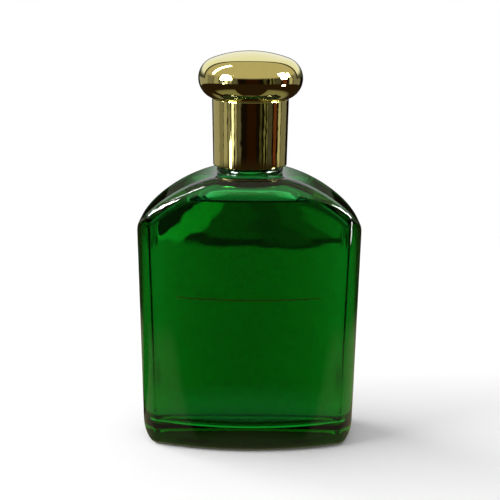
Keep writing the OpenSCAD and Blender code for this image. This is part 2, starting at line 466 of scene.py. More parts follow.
def arc(cx: float, cz: float, r: float, start: float, end: float, step: float = 4.0) -> list[tuple[float, float]]:
    """Points on an arc of a profile.

    Args:
        cx: centre's distance from the axis.
        cz: centre's height.
        r: radius.
        start: first angle in degrees, from straight out towards up.
        end: last angle in degrees.
        step: degrees between points.

    Returns:
        The arc's points.
    """
    steps = max(2, math.ceil(abs(end - start) / step))
    angles = [math.radians(start + (end - start) * k / steps) for k in range(steps + 1)]
    return [(cx + r * math.cos(a), cz + r * math.sin(a)) for a in angles]


def dress(obj: bpy.types.Object, material: bpy.types.Material, body: Body,
          replaced: str | None = None) -> None:
    """Gives a finished piece its material and its place in the frame.

    Args:
        obj: the piece, at the origin.
        material: its material.
        body: the body that it rides on.
        replaced: the CAD node that it stands for.
    """
    obj.data.materials.clear()
    obj.data.materials.append(material)
    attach(obj, body.value)
    if replaced:
        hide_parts(replaced)
    log.info("%s: %d faces, rides on %s", obj.name, len(obj.data.polygons), body.value)


def grown(obj_name: str, group: bpy.types.NodeTree, inputs: dict[str, float | tuple],
          start: bpy.types.Mesh | None = None) -> bpy.types.Object:
    """Runs a Geometry Nodes tree and keeps its result as a plain mesh.

    Args:
        obj_name: name of the new object.
        group: the node tree.
        inputs: value of each named input.
        start: the mesh that it works on, if it needs one.

    Returns:
        The mesh object, with no modifier left.
    """
    seed_mesh = start or bpy.data.meshes.new(obj_name + "_start")
    carrier = bpy.data.objects.new(obj_name + "_carrier", seed_mesh)
    bpy.context.scene.collection.objects.link(carrier)
    modifier = carrier.modifiers.new("grow", "NODES")
    modifier.node_group = group
    for item in group.interface.items_tree:
        if item.item_type == "SOCKET" and item.in_out == "INPUT" and item.name in inputs:
            modifier[item.identifier] = inputs[item.name]
    evaluated = carrier.evaluated_get(bpy.context.evaluated_depsgraph_get())
    mesh = bpy.data.meshes.new_from_object(evaluated)
    mesh.name = obj_name
    bpy.data.objects.remove(carrier)
    obj = bpy.data.objects.new(obj_name, mesh)
    bpy.context.scene.collection.objects.link(obj)
    return obj


def shape_tree(name: str, **inputs: str) -> tuple[bpy.types.NodeTree, dict[str, bpy.types.NodeSocket]]:
    """Starts a Geometry Nodes tree that makes a shape from named sizes.

    Args:
        name: the tree's name.
        **inputs: each input's name, with _ for a space, and its kind.

    Returns:
        The tree and its inputs by name.
    """
    tree = bpy.data.node_groups.new(name, "GeometryNodeTree")
    for key, kind in inputs.items():
        tree.interface.new_socket(key.replace("_", " "), in_out="INPUT", socket_type="NodeSocket" + kind)
    tree.interface.new_socket("Geometry", in_out="OUTPUT", socket_type="NodeSocketGeometry")
    given = add(tree, "NodeGroupInput")
    return tree, {key: given.outputs[key.replace("_", " ")] for key in inputs}


def end_shape(tree: bpy.types.NodeTree, shape: bpy.types.Node, material: str) -> bpy.types.NodeTree:
    """Ends a shape's tree in real faces with a material.

    Args:
        tree: the tree.
        shape: the node that gives the shape.
        material: the material's name.

    Returns:
        The finished tree.
    """
    real = add(tree, "GeometryNodeRealizeInstances", {0: shape})
    finish = add(tree, "GeometryNodeSetMaterial", {"Geometry": real, "Material": bpy.data.materials[material]})
    add(tree, "NodeGroupOutput", {0: finish})
    return tree


def join(target: bpy.types.Object, other: bpy.types.Object) -> None:
    """Adds one object's mesh to another's and removes it.

    Args:
        target: the object that stays.
        other: the object whose faces it takes.
    """
    with bpy.context.temp_override(active_object=target, object=target,
                                   selected_editable_objects=[target, other]):
        bpy.ops.object.join()


# ---------- the flask ----------


def smooth(share: np.ndarray) -> np.ndarray:
    """Eases a share from 0 to 1, level at both ends."""
    held = np.clip(share, 0, 1)
    return held * held * (3 - 2 * held)


@dataclass(frozen=True)
class FlaskForm:
    """The pressed flask as one distance function that is true at any inset, in millimetres.

    Attributes:
        half_w: half the width across the shoulders.
        half_d: half the depth at the middle of the wide faces.
        shoulder_r: radius of the arc over the shoulders.
        shoulder_z: height of that arc's centre.
        corner_r: radius where the shoulder turns into the side.
        corner_z: height of that radius' centre.
        lean: how far the sides lean in towards the foot.
        side_r: radius of the rounded sides.
        face_r: radius of the bowed faces.
        brow_r: radius where the shoulder rolls over into the faces.
        land_z: height of the flat land under the neck.
        lap: how far the side's plane stands past the rounded side, so that no sliver is left.
        arc_lap: the same for the roll's end of the shoulder arc.
        face_lap: the same for the roll's end of the faces.
    """

    half_w: float = 35.0
    half_d: float = 17.0
    shoulder_r: float = 44.0
    shoulder_z: float = 43.9
    corner_r: float = 10.0
    corner_z: float = 66.83
    lean: float = math.radians(0.857)
    side_r: float = 18.0
    face_r: float = 90.0
    brow_r: float = 8.0
    land_z: float = 86.5
    lap: float = 0.1
    arc_lap: float = 0.2
    face_lap: float = 0.3

    @staticmethod
    def blend_max(a: np.ndarray, b: np.ndarray, r: float) -> np.ndarray:
        """Meeting of two distances under a rounding of radius r."""
        inner = np.minimum(np.maximum(a + r, b + r), 0)
        return inner + np.hypot(np.maximum(a + r, 0), np.maximum(b + r, 0)) - r

    def plan(self, p: np.ndarray, inset: float) -> np.ndarray:
        """Distance past the rounded sides and the bowed faces.

        Args:
            p: points, with x, y and z last.
            inset: how far inside the outer surface the form lies.

        Returns:
            Distance of each point, negative inside.
        """
        x, y, z = np.abs(p[..., 0]), np.abs(p[..., 1]), p[..., 2]
        out = (x - self.half_w + self.side_r) * math.cos(self.lean) - (z - self.corner_z) * math.sin(self.lean)
        steep = 3  # keeps the rounded side out of play further in
        side = np.where(out > 0, np.hypot(out, y) - self.side_r, y - self.side_r + steep * out) + inset
        face = np.hypot(x, y + self.face_r - self.half_d) - self.face_r + inset
        return np.maximum(side, face)

    def sharp(self, p: np.ndarray, inset: float, floor: np.ndarray | float, top: float,
              heel: float, foot: float) -> np.ndarray:
        """Distance to the form with its arrises still sharp.

        Args:
            p: points, with x, y and z last.
            inset: how far inside the outer surface the form lies.
            floor: height of its floor.
            top: height of its flat top.
            heel: rounding where the sides meet the floor.
            foot: rounding where the faces meet the floor.

        Returns:
            Distance of each point, negative inside.
        """
        x, y, z = np.abs(p[..., 0]), np.abs(p[..., 1]), p[..., 2]
        rise = np.maximum(z - self.shoulder_z, 0)
        fan = np.hypot(x, rise)
        corner_x, corner_rise = self.half_w + self.lap - self.corner_r, self.corner_z - self.shoulder_z
        turning = (rise > corner_rise) & (x * corner_rise > rise * corner_x)
        arch = np.maximum(fan - self.shoulder_r, x - self.half_w - self.lap)
        arch = np.where(turning, np.hypot(x - corner_x, rise - corner_rise) - self.corner_r, arch) + inset
        brow = self.blend_max(fan - self.shoulder_r - self.arc_lap + inset,
                              y - self.half_d - self.face_lap + inset, self.brow_r - inset)
        below = floor - z
        wall = (x - self.half_w - self.lap) * math.cos(self.lean) \
            - (z - self.corner_z) * math.sin(self.lean) + inset
        heels = self.blend_max(wall, below, heel)
        face = np.hypot(x, y + self.face_r - self.half_d) - self.face_r + inset
        feet = self.blend_max(face, below, foot)
        parts = (arch, brow, heels, feet, self.plan(p, inset), z - top)
        return np.maximum.reduce(parts)


@dataclass
class SkinCaster:
    """Casts a form's skin as rings round the neck axis, closest where it turns fastest.

    Attributes:
        distance: the form's distance function.
        soften: radius over which its arrises are rounded.
        centre_z: height of the point that the rays leave from.
        samples: rays tried along each meridian.
        round_samples: places tried round the form.
        longest: longest ray.
        halvings: how often a ray's stretch is halved on the way to the sharp form.
        passes: steps from the sharp form to the softened one.
        probe: distance over which the slope along a ray is measured.
        least_slope: lowest slope that is believed.
        stride: longest step.
        shells: sizes of the shells of the small ball, in parts of its radius.
    """

    distance: Callable[[np.ndarray], np.ndarray]
    soften: float
    centre_z: float
    samples: int = 420
    round_samples: int = 2881
    longest: float = 90.0
    halvings: int = 22
    passes: int = 3
    probe: float = 0.02
    least_slope: float = 0.15
    stride: float = 1.5
    shells: tuple[float, float] = (0.55, 1.0)

    def soft(self, p: np.ndarray) -> np.ndarray:
        """Distance averaged over a small ball, which rounds each arris as far as it turns.

        Args:
            p: points, with x, y and z last.

        Returns:
            The averaged distance.
        """
        gold = (1 + math.sqrt(5)) / 2
        corners = [(0, s, t * gold) for s in (-1, 1) for t in (-1, 1)]
        corners = [c[k:] + c[:k] for c in corners for k in range(3)]
        ball = np.array(corners) / math.hypot(1, gold)
        total = self.distance(p)
        for scale in self.shells:
            for way in ball:
                total = total + self.distance(p + way * scale * self.soften)
        return total / (1 + len(self.shells) * len(ball))

    def cast(self, ways: np.ndarray, refine: bool = True) -> np.ndarray:
        """Finds where each ray leaves the form.

        Args:
            ways: unit directions, with x, y and z last.
            refine: whether to go on to the form with its arrises rounded.

        Returns:
            The point on the skin along each of them.
        """
        start = np.array([0.0, 0.0, self.centre_z])
        low = np.zeros(ways.shape[:-1])
        high = np.full(ways.shape[:-1], self.longest)
        for _ in range(self.halvings):
            mid = (low + high) / 2
            inside = self.distance(start + ways * mid[..., None]) < 0
            low, high = np.where(inside, mid, low), np.where(inside, high, mid)
        reach = (low + high) / 2
        for _ in range(self.passes if refine else 0):
            here = self.soft(start + ways * reach[..., None])
            slope = (self.soft(start + ways * (reach + self.probe)[..., None]) - here) / self.probe
            reach = reach - np.clip(here / np.maximum(slope, self.least_slope), -self.stride, self.stride)
        return start + ways * reach[..., None]

    def columns(self, level: float, count: int) -> np.ndarray:
        """Directions of the columns, spaced evenly round the form and closer at its upright arrises.

        Args:
            level: height at which the spacing is measured.
            count: number of columns.

        Returns:
            Their angles in radians.
        """
        fine = np.linspace(0, TURN, self.round_samples)
        flat = np.stack([np.cos(fine), np.sin(fine), np.zeros_like(fine)], axis=-1)
        guess, marches = 25.0, 40
        reach = np.full(fine.shape, guess)
        for _ in range(marches):
            reach = reach - self.soft(flat * reach[:, None] + np.array([0, 0, level]))
        p = flat[:, :2] * reach[:, None]
        return self.even(p[None], fine[None], count, 1.0, closed=True)[0]

    @staticmethod
    def even(points: np.ndarray, values: np.ndarray, count: int, span: float,
             closed: bool = False) -> np.ndarray:
        """Resamples values along curves by length and by how fast the curve turns.

        Args:
            points: curves by samples by coordinates.
            values: one value for each sample.
            count: how many to keep on each curve.
            span: millimetres that count as much as a turn of BEND_STEP.
            closed: whether the last sample is the first again.

        Returns:
            Curves by count, the values that are kept.
        """
        step = np.diff(points, axis=1)
        length = np.linalg.norm(step, axis=-1)
        way = step / np.maximum(length, 1e-9)[..., None]
        bend = np.zeros_like(length)
        cosine = np.clip((way[:, 1:] * way[:, :-1]).sum(-1), -1, 1)
        bend[:, 1:] = np.arccos(cosine) / BEND_STEP
        weight = length / span + bend
        kernel = np.hanning(9)[1:-1]
        kernel /= kernel.sum()
        margin = len(kernel) // 2
        weight = np.apply_along_axis(lambda w: np.convolve(np.pad(w, margin, "edge"), kernel, "valid"), 1, weight)
        total = np.concatenate([np.zeros((len(points), 1)), np.cumsum(weight, axis=1)], axis=1)
        want = np.linspace(0, 1, count + 1)[:-1] if closed else np.linspace(0, 1, count)
        known = zip(total, np.broadcast_to(values, total.shape))
        return np.stack([np.interp(want * along[-1], along, value) for along, value in known])

    def rings(self, angles: np.ndarray, first: float, last: float, count: int, span: float) -> np.ndarray:
        """Casts the skin between two elevations.

        Args:
            angles: the columns' angles.
            first: elevation of the first ring from the centre, in radians.
            last: elevation of the last ring.
            count: number of rings.
            span: millimetres that count as much as a turn of BEND_STEP.

        Returns:
            Rings by columns by 3.
        """
        tilt = np.linspace(first, last, self.samples)
        flat = np.stack([np.cos(angles), np.sin(angles), np.zeros_like(angles)], axis=-1)

        def ways(t: np.ndarray) -> np.ndarray:
            """Unit directions for columns by samples of tilt."""
            return flat[:, None, :] * np.cos(t)[..., None] + np.array([0, 0, 1.0]) * np.sin(t)[..., None]

        fine = np.broadcast_to(tilt, (len(angles), self.samples))
        kept = self.even(self.cast(ways(fine), refine=False), fine, count, span)
        return self.cast(ways(kept)).transpose(1, 0, 2)


@dataclass
class Flask:
    """The glass: flask, bead, ring, threads and bore, as one closed skin (millimetres).

    The rings run up the outside from the foot, over the neck and down the bore and the cavity. Each stretch
    of them has its count, and its first and last tilt seen from the centre.
    """

    form: FlaskForm = field(default_factory=FlaskForm)
    wall: float = 3.2
    base_t: float = 6.5
    cavity_top: float = 83.5
    heel_r: float = 6.0
    foot_r: float = 3.0
    floor_r: float = 4.0
    push_up: float = 0.8
    standing_w: float = 3.0
    neck_r: float = 7.9
    thread_h: float = 1.05
    bore_r: float = 4.8
    neck_top: float = 101.6
    lip_r: float = 0.8
    bead_r: float = 10.2
    bead_h: float = 1.9
    ring_r: float = 8.75
    ring_h: float = 1.4
    ring_z: float = 90.0
    arris: float = 1.3
    centre_z: float = 45.0
    land_edge: float = 10.6
    columns_at: float = 60.0
    outer_rings: int = 150
    outer_span: float = 1.0
    outer_tilt: float = math.radians(89.2)
    cavity_rings: int = 96
    cavity_span: float = 1.6
    cavity_tilt: float = math.radians(89.0)
    thread_z: float = 93.6
    thread_turns: float = 1.9
    thread_crest: float = 0.3
    thread_flank: float = 0.45
    thread_run_in: float = 0.12

    def outer(self, p: np.ndarray) -> np.ndarray:
        """Distance to the outside, with the domed push-up under the base.

        Args:
            p: points, with x, y and z last.

        Returns:
            Distance of each point, negative inside.
        """
        inside = -self.form.plan(p, 0) - self.heel_r - self.standing_w
        climb = 2.5  # width over which the push-up rises
        lift = self.push_up * smooth(inside / climb)
        return self.form.sharp(p, 0, lift, self.form.land_z, self.heel_r, self.foot_r)

    def inner(self, p: np.ndarray) -> np.ndarray:
        """Distance to the cavity."""
        return self.form.sharp(p, self.wall, self.base_t, self.cavity_top, self.floor_r, self.floor_r)

    def thread_lift(self, angle: np.ndarray, height: np.ndarray) -> np.ndarray:
        """How far the screw thread stands out at a place on the neck.

        Args:
            angle: angle round the neck in radians.
            height: height in millimetres.

        Returns:
            Height of the thread there.
        """
        lift = np.zeros_like(angle + height)
        for lap in range(math.ceil(self.thread_turns) + 1):
            run = (angle % TURN) / TURN + lap
            away = np.abs(height - self.thread_z - THREAD_PITCH * run)
            rise = smooth((self.thread_crest + self.thread_flank - away) / self.thread_flank)
            ends = np.clip(np.minimum(run, self.thread_turns - run) / self.thread_run_in, 0, 1)
            lift = np.maximum(lift, rise * ends * self.thread_h)
        return lift

    def neck_profile(self) -> list[tuple[float, float]]:
        """Outline of the neck from the flask's land up over the lip and down the bore.

        Returns:
            Radius and height of each point.
        """
        bead_c, bead = self.bead_r - self.bead_h / 2, self.bead_h / 2
        ring_c, ring = self.ring_r - self.ring_h / 2, self.ring_h / 2
        land = self.form.land_z
        points = [(self.land_edge - 0.3, land), (self.bead_r - 0.1, land + 0.02), (self.bead_r - 0.25, land + 0.12)]
        points += arc(bead_c, land + bead, bead, -40, 100, 12)
        top = land + self.bead_h
        points += arc(self.neck_r + 0.5, top + 0.45, 0.5, 270, 180, 18)
        points += arc(self.neck_r + 0.4, self.ring_z - 0.35, 0.4, 180, 90, 18)
        points += arc(ring_c, self.ring_z + ring, ring, -75, 75, 15)
        points += arc(self.neck_r + 0.4, self.ring_z + self.ring_h + 0.35, 0.4, 270, 180, 18)
        start, end = self.ring_z + self.ring_h + 0.9, self.neck_top - self.lip_r - 0.05
        points += [(self.neck_r, z) for z in np.linspace(start, end, 34)]
        points += arc(self.neck_r - self.lip_r, self.neck_top - self.lip_r, self.lip_r, 4, 90, 14)
        points += arc(self.bore_r + 0.35, self.neck_top - 0.35, 0.35, 90, 180, 18)
        points += [(self.bore_r, z) for z in np.linspace(self.neck_top - 0.6, self.cavity_top + 1.4, 14)]
        points += arc(self.bore_r + 1.2, self.cavity_top + 1.2, 1.2, 180, 262, 18)
        return points

    def build(self, material: bpy.types.Material) -> np.ndarray:
        """Builds and dresses the glass.

        Args:
            material: its material.

        Returns:
            The columns' angles, which the liquid shares.
        """
        outside = SkinCaster(self.outer, self.arris, self.centre_z)
        inside = SkinCaster(self.inner, self.arris, self.centre_z)
        angles = outside.columns(self.columns_at, COLUMNS)
        up = math.atan2(self.form.land_z - self.centre_z, self.land_edge)
        shell = outside.rings(angles, -self.outer_tilt, up, self.outer_rings, self.outer_span)
        profile = self.neck_profile()
        radius = np.array([p[0] for p in profile])[:, None] + 0 * angles
        height = np.array([p[1] for p in profile])[:, None] + 0 * angles
        in_bore = 25  # points of the outline that carry no thread
        climbing = np.arange(len(profile))[:, None] < len(profile) - in_bore
        radius = radius + np.where(climbing, self.thread_lift(angles[None], height), 0)
        neck = np.stack([radius * np.cos(angles), radius * np.sin(angles), height], axis=-1)
        down = math.atan2(self.cavity_top - self.centre_z, self.bore_r + 1.5)
        cavity = inside.rings(angles, down, -self.cavity_tilt, self.cavity_rings, self.cavity_span)
        rings = np.concatenate([shell, neck, cavity])
        poles = (Vector((0, 0, self.push_up)), Vector((0, 0, self.base_t)))
        glass = rings_mesh("glass_flask", rings, poles, False, inward_first=True)
        dress(glass, material, Body.BOTTLE, "glass_bottle")
        return angles


@dataclass
class Aftershave:
    """The liquid, wetting the glass, with its meniscus and froth (millimetres).

    Attributes:
        flask: the glass that holds it.
        fill_z: height of its level surface.
        wet: how far it reaches into the glass, so that no air shows between them.
        rise: how far the surface climbs at the glass.
        reach: distance from the glass over which it climbs.
        slack: share of the surface's distance that is counted, since it slopes near the glass.
        edge: softening of its edge.
        rings: rings of its skin.
        span: spacing of those rings.
        tilt: tilt of the first and last ring, seen from the centre.
        froth_z: height of the froth.
        froth_ends: start, end and number of bubbles of each row of froth.
        froth_stray: how far a bubble may stray from its row.
        froth_size: radius of the smallest and the largest bubble.
        centre_z: height of the point that its skin is cast from.
    """

    flask: Flask
    fill_z: float = 79.0
    wet: float = 0.03
    rise: float = 1.5
    reach: float = 1.1
    slack: float = 0.8
    edge: float = 0.25
    rings: int = 130
    span: float = 1.4
    tilt: float = math.radians(89.0)
    froth_z: float = 80.2
    froth_ends: tuple[tuple[tuple[float, float], tuple[float, float], int], ...] = (
        ((-17.6, -9.6), (-12.4, -11.8), 18), ((14.2, -10.9), (17.6, -9.6), 11))
    froth_stray: tuple[float, float, float] = (0.3, 0.4, 0.4)
    froth_size: tuple[float, float] = (0.45, 0.85)
    centre_z: float = 45.0

    def distance(self, p: np.ndarray) -> np.ndarray:
        """Distance to the liquid, whose surface climbs where it meets the glass.

        Args:
            p: points, with x, y and z last.

        Returns:
            Distance of each point, negative inside.
        """
        flask = self.flask
        inset = flask.wall - self.wet
        wall = flask.form.sharp(p, inset, flask.base_t - self.wet, flask.cavity_top, flask.floor_r,
                                flask.floor_r)
        surface = self.fill_z + self.rise * np.exp(np.minimum(wall, 0) / self.reach)
        return np.maximum(wall, (p[..., 2] - surface) * self.slack)

    @staticmethod
    def bubble_tree() -> bpy.types.NodeTree:
        """Node tree for a short row of froth bubbles.

        Returns:
            A tree that scatters small spheres of mixed sizes along a line.
        """
        tree, given = shape_tree("Froth bubbles", Count="Int", Start="Vector", End="Vector", Stray="Vector",
                                 Smallest="Float", Largest="Float", Seed="Int")
        row = add(tree, "GeometryNodeMeshLine", {
            "Count": given["Count"], "Start Location": given["Start"], "Offset": given["End"]}, mode="END_POINTS")
        back = add(tree, "ShaderNodeVectorMath", {0: given["Stray"], "Scale": -1.0}, operation="SCALE")
        stray = add(tree, "FunctionNodeRandomValue", {
            "Min": back, "Max": given["Stray"], "Seed": given["Seed"]}, data_type="FLOAT_VECTOR")
        moved = add(tree, "GeometryNodeSetPosition", {"Geometry": row, "Offset": stray.outputs["Value"]})
        ball = add(tree, "GeometryNodeMeshUVSphere", {"Segments": 20, "Rings": 12, "Radius": 1.0})
        rounded_ball = add(tree, "GeometryNodeSetShadeSmooth", {0: ball})
        size = add(tree, "FunctionNodeRandomValue", {
            2: given["Smallest"], 3: given["Largest"], "Seed": given["Seed"]}, data_type="FLOAT")
        put = add(tree, "GeometryNodeInstanceOnPoints", {
            "Points": moved, "Instance": rounded_ball, "Scale": size.outputs[1]})
        return end_shape(tree, put, GREEN_LIQUID.name)

    def froth(self, liquid: bpy.types.Object) -> None:
        """Adds the froth that clings where the surface meets the front wall at both ends.

        Args:
            liquid: the liquid that it joins.
        """
        tree = self.bubble_tree()
        first_seed = 3
        for seed, (start, end, count) in enumerate(self.froth_ends):
            rows = grown("froth_%d" % seed, tree, {
                "Count": count, "Start": (start[0] * MM, start[1] * MM, self.froth_z * MM),
                "End": (end[0] * MM, end[1] * MM, self.froth_z * MM),
                "Stray": tuple(part * MM for part in self.froth_stray), "Smallest": self.froth_size[0] * MM,
                "Largest": self.froth_size[1] * MM, "Seed": seed + first_seed})
            join(liquid, rows)

    def build(self, angles: np.ndarray, material: bpy.types.Material) -> None:
        """Builds and dresses the liquid.

        Args:
            angles: the columns' angles.
            material: its material.
        """
        caster = SkinCaster(self.distance, self.edge, self.centre_z)
        rings = caster.rings(angles, self.tilt, -self.tilt, self.rings, self.span)
        poles = (Vector((0, 0, self.fill_z)), Vector((0, 0, self.flask.base_t - self.wet)))
        liquid = rings_mesh("aftershave_liquid", rings, poles, False)
        self.froth(liquid)
        dress(liquid, material, Body.BOTTLE, "aftershave")


@dataclass
class GoldRule:
    """The thin gold rule stamped across the front face (millimetres)."""

    form: FlaskForm = field(default_factory=FlaskForm)
    half_length: float = 22.2
    height: float = 50.1
    width: float = 0.3
    thickness: float = 0.02

    def build(self, material: bpy.types.Material) -> None:
        """Builds and dresses the rule as a thin closed strip on the bowed face.

        Args:
            material: its material.
        """
        xs = np.linspace(-self.half_length, self.half_length, 120)
        face = -(np.sqrt(self.form.face_r ** 2 - xs ** 2) - self.form.face_r + self.form.half_d)
        ragged = 1 + 0.12 * np.sin(xs * 7.3) * np.sin(xs * 2.9)
        half = self.width / 2 * ragged * np.clip((self.half_length - np.abs(xs)) / 0.3, 0.15, 1)
        sections = []
        for depth, side in ((0.002, -1), (-self.thickness, -1), (-self.thickness, 1), (0.002, 1)):
            sections.append(np.stack([xs, face + depth, self.height + side * half], axis=-1))
        rings = np.stack(sections, axis=1)
        ends = (Vector((-self.half_length, float(face[0]), self.height)),
                Vector((self.half_length, float(face[-1]), self.height)))
        strip = rings_mesh("gold_rule", rings, ends, False, inward_first=True)
        strip.data.shade_flat()
        dress(strip, material, Body.BOTTLE)


# ---------- seal and cap ----------


@dataclass
class OrificeReducer:
    """The soft plug in the neck, with its flange, sealing rings, dish and nozzle (millimetres)."""

    flange_r: float = 7.2
    lip_z: float = 101.6
    flange_t: float = 0.8
    plug_r: float = 4.6
    plug_foot: float = 92.6
    plug_wall: float = 0.9
    hole_r: float = 1.6
    dish_z: float = 100.6
    nozzle_top: float = 102.1
    bead_r: float = 4.75

    def build(self, material: bpy.types.Material) -> None:
        """Builds and dresses the plug.

        Args:
            material: its material.
        """
        inner = self.plug_r - self.plug_wall
        top = self.lip_z + self.flange_t
        web = self.dish_z - self.plug_wall
        corners = [
            (self.flange_r, top, 0.3), (self.flange_r, self.lip_z, 0.15), (self.plug_r, self.lip_z, 0.05),
        ]
        for share in (0.75, 0.5, 0.25):
            z = self.plug_foot + share * (self.lip_z - self.plug_foot)
            corners += [(self.plug_r, z + 0.9, 0.1), (self.bead_r, z + 0.5, 0.2), (self.plug_r, z, 0.1)]
        corners += [
            (self.plug_r, self.plug_foot + 0.6, 0.3), (self.plug_r - 0.35, self.plug_foot, 0.15),
            (inner, self.plug_foot, 0.15), (inner, web, 0.4), (self.hole_r, web, 0.1),
            (self.hole_r, self.nozzle_top, 0.25), (self.hole_r + self.plug_wall, self.nozzle_top, 0.25),
            (self.hole_r + self.plug_wall, self.dish_z, 0.4), (inner, self.dish_z, 0.4), (inner, top, 0.3),
        ]
        plug = rings_mesh("orifice_plug", turned(rounded(corners, True), 144), (None, None), True)
        dress(plug, material, Body.BOTTLE, "orifice_reducer")


@dataclass
class SealingDisc:
    """The foam liner, with the ring that the lip has pressed into it (millimetres)."""

    radius: float = 8.9
    foot: float = 102.45
    thickness: float = 1.0
    press_r: float = 6.4
    press: float = 0.12

    def build(self, material: bpy.types.Material) -> None:
        """Builds and dresses the disc.

        Args:
            material: its material.
        """
        top = self.foot + self.thickness
        corners = [(0.6, top, 0.0), (self.radius, top, 0.15), (self.radius, self.foot, 0.15),
                   (self.press_r + 0.9, self.foot, 0.1), (self.press_r + 0.7, self.foot + self.press, 0.1),
                   (self.press_r - 0.7, self.foot + self.press, 0.1), (self.press_r - 0.9, self.foot, 0.1),
                   (0.6, self.foot, 0.0)]
        rings = turned(rounded(corners, False), 144)
        ends = (Vector((0, 0, top)), Vector((0, 0, self.foot)))
        disc = rings_mesh("liner_disc", rings, ends, False)
        dress(disc, material, Body.SEAL, "sealing_disc")


@dataclass
class InnerClosure:
    """The threaded cup, with the thread inside and the ribs outside (millimetres)."""

    radius: float = 10.1
    rib_r: float = 0.3
    rib_count: int = 24
    bore_r: float = 9.15
    foot: float = 89.0
    ceiling: float = 103.5
    top: float = 104.7
    thread_r: float = 0.6
    thread_centre: float = 8.8
    thread_turns: float = 1.7
    thread_start: float = 92.0

    def shell(self) -> bpy.types.Object:
        """Makes the cup without its thread and ribs.

        Returns:
            The cup.
        """
        corners = [(0.6, self.top, 0.0), (self.radius, self.top, 0.4), (self.radius, self.foot, 0.2),
                   (self.bore_r, self.foot, 0.25), (self.bore_r, self.ceiling, 0.5), (0.6, self.ceiling, 0.0)]
        rings = turned(rounded(corners, False), 144)
        ends = (Vector((0, 0, self.top)), Vector((0, 0, self.ceiling)))
        return rings_mesh("closure_cup", rings, ends, False)

    @staticmethod
    def thread_tree() -> bpy.types.NodeTree:
        """Node tree for a screw thread that stands in from a bore.

        Returns:
            A tree that sweeps a rounded ridge along a helix, thinner at its two ends.
        """
        tree, given = shape_tree("Closure thread", Centre_radius="Float", Ridge_radius="Float", Pitch="Float",
                                 Turns="Float", Start_height="Float")
        rise = add(tree, "ShaderNodeMath", {0: given["Pitch"], 1: given["Turns"]}, operation="MULTIPLY")
        helix = add(tree, "GeometryNodeCurveSpiral", {
            "Resolution": 72, "Rotations": given["Turns"], "Start Radius": given["Centre_radius"],
            "End Radius": given["Centre_radius"], "Height": rise})
        lift = add(tree, "ShaderNodeCombineXYZ", {"Z": given["Start_height"]})
        placed = add(tree, "GeometryNodeTransform", {"Geometry": helix, "Translation": lift})
        upright = add(tree, "GeometryNodeSetCurveNormal", {0: placed}, mode="Z_UP")
        along = add(tree, "GeometryNodeSplineParameter").outputs["Factor"]
        from_end = add(tree, "ShaderNodeMath", {0: 1.0, 1: along}, operation="SUBTRACT")
        nearest = add(tree, "ShaderNodeMath", {0: along, 1: from_end}, operation="MINIMUM")
        taper = add(tree, "ShaderNodeMapRange", {
            "Value": nearest, "From Min": 0.0, "From Max": 0.06, "To Min": 0.05, "To Max": 1.0})
        ridge = add(tree, "GeometryNodeCurvePrimitiveCircle", {"Resolution": 10, "Radius": given["Ridge_radius"]})
        swept = add(tree, "GeometryNodeCurveToMesh", {
            "Curve": upright, "Profile Curve": ridge, "Scale": taper, "Fill Caps": True})
        return end_shape(tree, swept, POLYPROPYLENE.name)

    @staticmethod
    def rib_tree() -> bpy.types.NodeTree:
        """Node tree for the upright ribs round a cup.

        Returns:
            A tree that stands half-round bars on a circle.
        """
        tree, given = shape_tree("Closure ribs", Count="Int", Circle_radius="Float", Rib_radius="Float",
                                 Height="Float", Middle_height="Float")
        circle = add(tree, "GeometryNodeMeshCircle", {"Vertices": given["Count"], "Radius": given["Circle_radius"]})
        lift = add(tree, "ShaderNodeCombineXYZ", {"Z": given["Middle_height"]})
        placed = add(tree, "GeometryNodeTransform", {"Geometry": circle, "Translation": lift})
        bar = add(tree, "GeometryNodeMeshCylinder", {
            "Vertices": 12, "Side Segments": 4, "Fill Segments": 1, "Radius": given["Rib_radius"],
            "Depth": given["Height"]}, fill_type="NGON")
        stood = add(tree, "GeometryNodeInstanceOnPoints", {"Points": placed, "Instance": bar})
        return end_shape(tree, stood, POLYPROPYLENE.name)

    def build(self, material: bpy.types.Material) -> None:
        """Builds and dresses the cup, its thread and its ribs as one piece.

        Args:
            material: its material.
        """
        cup = self.shell()
        thread = grown("closure_thread", self.thread_tree(), {
            "Centre radius": self.thread_centre * MM, "Ridge radius": self.thread_r * MM, "Pitch": THREAD_PITCH * MM,
            "Turns": self.thread_turns, "Start height": self.thread_start * MM})
        height = self.top - self.foot
        ribs = grown("closure_ribs", self.rib_tree(), {
            "Count": self.rib_count, "Circle radius": (self.radius - 0.02) * MM, "Rib radius": self.rib_r * MM,
            "Height": (height - 1.2) * MM, "Middle height": (self.foot + height / 2 - 0.1) * MM})
        join(cup, thread)
        join(cup, ribs)
        dress(cup, material, Body.CAP, "inner_closure")


@dataclass
class CapSleeve:
    """The gold sleeve, a thin tube that widens a little upwards, with its web (millimetres)."""

    foot_r: float = 11.3
    top_r: float = 11.65
    bore_r: float = 10.45
    foot: float = 88.6
    top: float = 108.85
    web_z: float = 104.75
    web_t: float = 1.5
    core_r: float = 6.0

    def build(self, material: bpy.types.Material) -> None:
        """Builds and dresses the sleeve.

        Args:
            material: its material.
        """
        web_top = self.web_z + self.web_t
        corners = [
            (self.top_r, self.top, 0.25), (self.foot_r, self.foot, 0.7), (self.bore_r, self.foot, 0.15),
            (self.bore_r, self.web_z, 0.2), (self.core_r, self.web_z, 0.2), (self.core_r, web_top, 0.2),
            (self.bore_r, web_top, 0.2), (self.bore_r, self.top, 0.2),
        ]
        sleeve = rings_mesh("gold_sleeve", turned(rounded(corners, True, 9.0)), (None, None), True)
        dress(sleeve, material, Body.CAP, "cap_sleeve")


